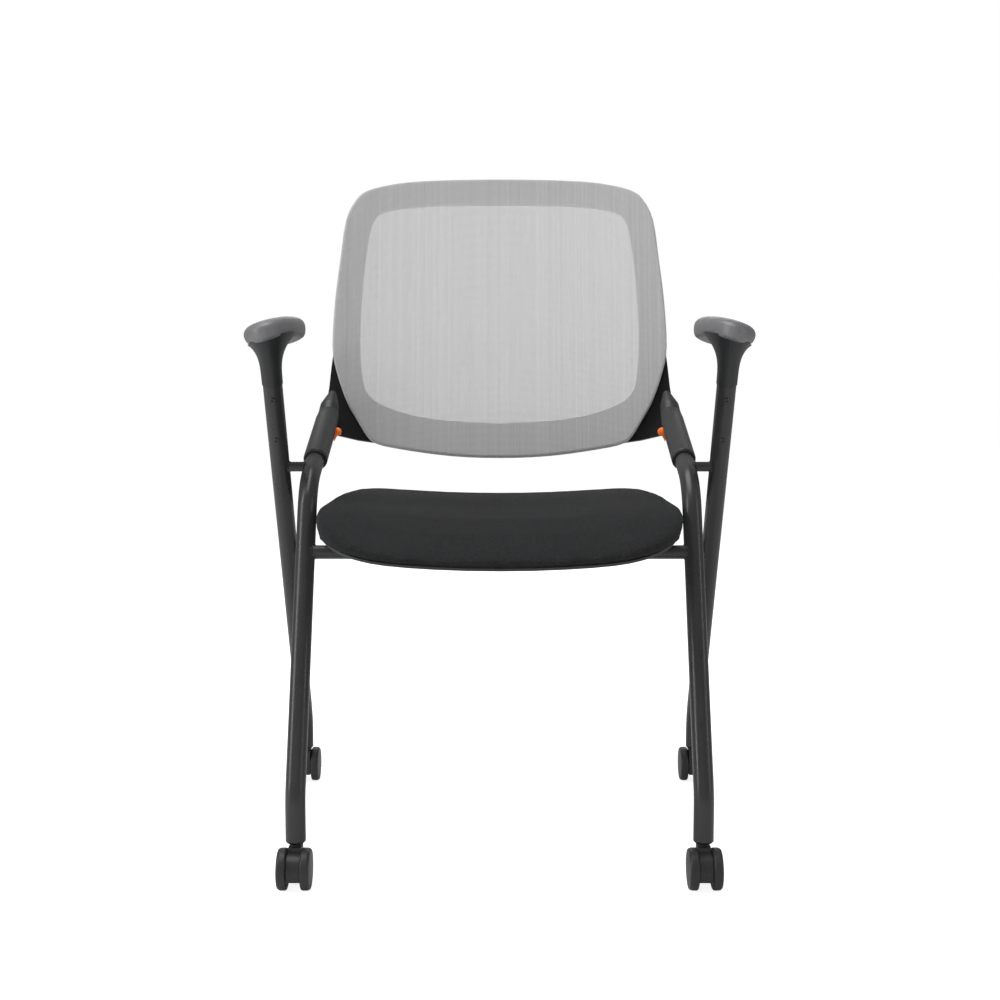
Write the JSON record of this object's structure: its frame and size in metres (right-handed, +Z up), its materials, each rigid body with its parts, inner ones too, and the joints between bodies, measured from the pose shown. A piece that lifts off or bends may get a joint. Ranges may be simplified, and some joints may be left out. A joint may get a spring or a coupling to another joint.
{
  "type": "nesting chair",
  "caption": "Nesting chair on casters with crossed tube side frames, a flip-up seat, rolled armrests and a mesh back that reclines a little on elastomer bushes.",
  "frame": {"origin": "on the floor, midway between the four caster stems", "axes": "+X to the right as seen from the front, +Y towards the back, +Z up"},
  "size_m": [0.6466, 0.5562, 0.9046],
  "materials": {
    "tube_paint": "satin charcoal powder coat",
    "arm_plastic": "satin moulded glass-filled nylon",
    "black_plastic": "fine-grained moulding",
    "ring_plastic": "mid grey moulding",
    "pan_plastic": "fine-grained moulding",
    "caster_plastic": "satin moulding",
    "wheel_plastic": "satin moulding",
    "pad_skin": "soft self-skinned foam",
    "orange_elastomer": "satin orange elastomer",
    "seal_rubber": "matte black rubber",
    "fastener_steel": "zinc plated",
    "back_mesh": "fine grey suspension mesh",
    "seat_fabric": "dark fine knit",
    "seat_board": "pressed plywood"
  },
  "bodies": {
    "frame": {"front_leg_left": "tube_paint", "front_leg_right": "tube_paint", "rear_leg_left": "tube_paint", "rear_leg_right": "tube_paint", "spacer_left": "tube_paint", "spacer_right": "tube_paint", "front_rail": "tube_paint", "pivot_rail": "tube_paint", "leg_plug_front_left": "black_plastic", "leg_plug_front_right": "black_plastic", "leg_plug_rear_left": "black_plastic", "leg_plug_rear_right": "black_plastic", "armrest_support_left": "arm_plastic", "armrest_support_right": "arm_plastic", "armrest_pad_left": "pad_skin", "armrest_pad_right": "pad_skin", "armrest_screws": "fastener_steel", "socket_arm_left": "arm_plastic", "socket_arm_right": "arm_plastic", "socket_seal_left": "seal_rubber", "socket_seal_right": "seal_rubber", "back_hinge_pins": "fastener_steel", "recline_bush_left": "orange_elastomer", "recline_bush_right": "orange_elastomer"},
    "seat": {"seat_cushion": "seat_fabric", "seat_board": "seat_board", "seat_pan": "pan_plastic", "hinge_clip_left": "black_plastic", "hinge_clip_right": "black_plastic", "clip_screws": "fastener_steel", "seat_buffers": "seal_rubber"},
    "back": {"back_ring": "ring_plastic", "back_mesh": "back_mesh", "back_wing_left": "black_plastic", "back_wing_right": "black_plastic", "wing_screws": "fastener_steel"},
    "caster_front_left": {"caster_stem_front_left": "fastener_steel", "caster_body_front_left": "caster_plastic", "caster_axle_front_left": "fastener_steel"},
    "wheel_front_left_outer": {"wheel_front_left_outer": "wheel_plastic"},
    "wheel_front_left_inner": {"wheel_front_left_inner": "wheel_plastic"},
    "caster_front_right": {"caster_stem_front_right": "fastener_steel", "caster_body_front_right": "caster_plastic", "caster_axle_front_right": "fastener_steel"},
    "wheel_front_right_outer": {"wheel_front_right_outer": "wheel_plastic"},
    "wheel_front_right_inner": {"wheel_front_right_inner": "wheel_plastic"},
    "caster_rear_left": {"caster_stem_rear_left": "fastener_steel", "caster_body_rear_left": "caster_plastic", "caster_axle_rear_left": "fastener_steel"},
    "wheel_rear_left_outer": {"wheel_rear_left_outer": "wheel_plastic"},
    "wheel_rear_left_inner": {"wheel_rear_left_inner": "wheel_plastic"},
    "caster_rear_right": {"caster_stem_rear_right": "fastener_steel", "caster_body_rear_right": "caster_plastic", "caster_axle_rear_right": "fastener_steel"},
    "wheel_rear_right_outer": {"wheel_rear_right_outer": "wheel_plastic"},
    "wheel_rear_right_inner": {"wheel_rear_right_inner": "wheel_plastic"}
  },
  "joints": [
    {"name": "seat_flip", "type": "hinge", "parent": "frame", "child": "seat", "pos_m": [0, 0.05209, 0.37], "axis": [-1, 0, 0], "range_deg": [0, 78]},
    {"name": "back_recline", "type": "hinge", "parent": "frame", "child": "back", "pos_m": [0, 0.12166, 0.53165], "axis": [-1, 0, 0], "range_deg": [0, 10], "stiffness_Nm_per_rad": 60, "springref_deg": -8.59},
    {"name": "swivel_front_left", "type": "hinge", "parent": "frame", "child": "caster_front_left", "pos_m": [-0.245, -0.21, 0.05], "axis": [0, 0, 1], "continuous": true},
    {"name": "swivel_front_right", "type": "hinge", "parent": "frame", "child": "caster_front_right", "pos_m": [0.245, -0.21, 0.05], "axis": [0, 0, 1], "continuous": true},
    {"name": "swivel_rear_left", "type": "hinge", "parent": "frame", "child": "caster_rear_left", "pos_m": [-0.292, 0.21, 0.05], "axis": [0, 0, 1], "continuous": true},
    {"name": "swivel_rear_right", "type": "hinge", "parent": "frame", "child": "caster_rear_right", "pos_m": [0.292, 0.21, 0.05], "axis": [0, 0, 1], "continuous": true},
    {"name": "roll_front_left_outer", "type": "hinge", "parent": "caster_front_left", "child": "wheel_front_left_outer", "pos_m": [-0.245, -0.223, 0.025], "axis": [1, 0, 0], "continuous": true},
    {"name": "roll_front_left_inner", "type": "hinge", "parent": "caster_front_left", "child": "wheel_front_left_inner", "pos_m": [-0.245, -0.223, 0.025], "axis": [1, 0, 0], "continuous": true},
    {"name": "roll_front_right_outer", "type": "hinge", "parent": "caster_front_right", "child": "wheel_front_right_outer", "pos_m": [0.245, -0.223, 0.025], "axis": [1, 0, 0], "continuous": true},
    {"name": "roll_front_right_inner", "type": "hinge", "parent": "caster_front_right", "child": "wheel_front_right_inner", "pos_m": [0.245, -0.223, 0.025], "axis": [1, 0, 0], "continuous": true},
    {"name": "roll_rear_left_outer", "type": "hinge", "parent": "caster_rear_left", "child": "wheel_rear_left_outer", "pos_m": [-0.292, 0.223, 0.025], "axis": [1, 0, 0], "continuous": true},
    {"name": "roll_rear_left_inner", "type": "hinge", "parent": "caster_rear_left", "child": "wheel_rear_left_inner", "pos_m": [-0.292, 0.223, 0.025], "axis": [1, 0, 0], "continuous": true},
    {"name": "roll_rear_right_outer", "type": "hinge", "parent": "caster_rear_right", "child": "wheel_rear_right_outer", "pos_m": [0.292, 0.223, 0.025], "axis": [1, 0, 0], "continuous": true},
    {"name": "roll_rear_right_inner", "type": "hinge", "parent": "caster_rear_right", "child": "wheel_rear_right_inner", "pos_m": [0.292, 0.223, 0.025], "axis": [1, 0, 0], "continuous": true}
  ]
}
